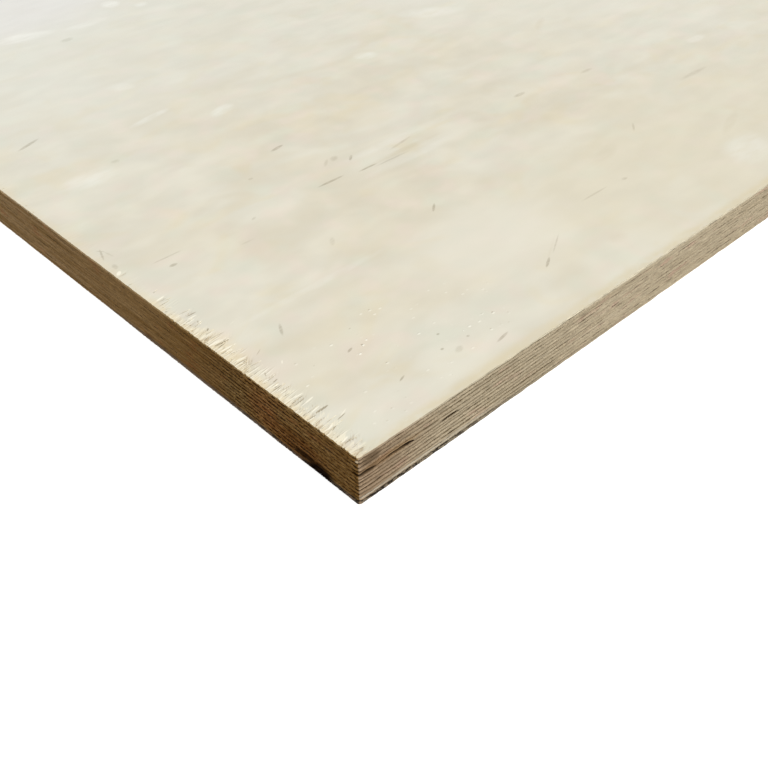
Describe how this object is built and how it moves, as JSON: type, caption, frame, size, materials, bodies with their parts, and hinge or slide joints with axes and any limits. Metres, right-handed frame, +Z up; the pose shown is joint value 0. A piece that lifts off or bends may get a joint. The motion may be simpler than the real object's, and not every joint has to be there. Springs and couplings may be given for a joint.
{
  "type": "plywood sheet",
  "caption": "Full sheet of birch plywood with sanded faces and sawn edges that show its glued veneers, worn at one corner.",
  "frame": {"origin": "centre of the sheet's underside, on the floor", "axes": "+Z up, out of the good face; +X along the sheet and along the grain of the face veneer; +Y across it. The worn corner is at -X, -Y."},
  "size_m": [2.44, 1.22, 0.018],
  "materials": {
    "face_veneer": "sanded pale birch face veneer, bare, with flat flame figure, pith flecks and tear-out along the cross-cut end",
    "back_veneer": "sanded birch back veneer, bare, slightly duller, bruised along its lower edge at one corner",
    "long_grain_core": "sawn birch core veneer with its grain along the sheet: side grain on the long edges, end grain on the ends",
    "cross_grain_core": "sawn birch core veneer with its grain across the sheet: end grain on the long edges, side grain on the ends"
  },
  "bodies": {
    "root": {"back_veneer": "back_veneer", "cross_ply_02": "cross_grain_core", "long_ply_03": "long_grain_core", "cross_ply_04": "cross_grain_core", "long_ply_05": "long_grain_core", "cross_ply_06": "cross_grain_core", "long_ply_07": "long_grain_core", "cross_ply_08": "cross_grain_core", "long_ply_09": "long_grain_core", "cross_ply_10": "cross_grain_core", "long_ply_11": "long_grain_core", "cross_ply_12": "cross_grain_core", "face_veneer": "face_veneer"}
  },
  "joints": []
}
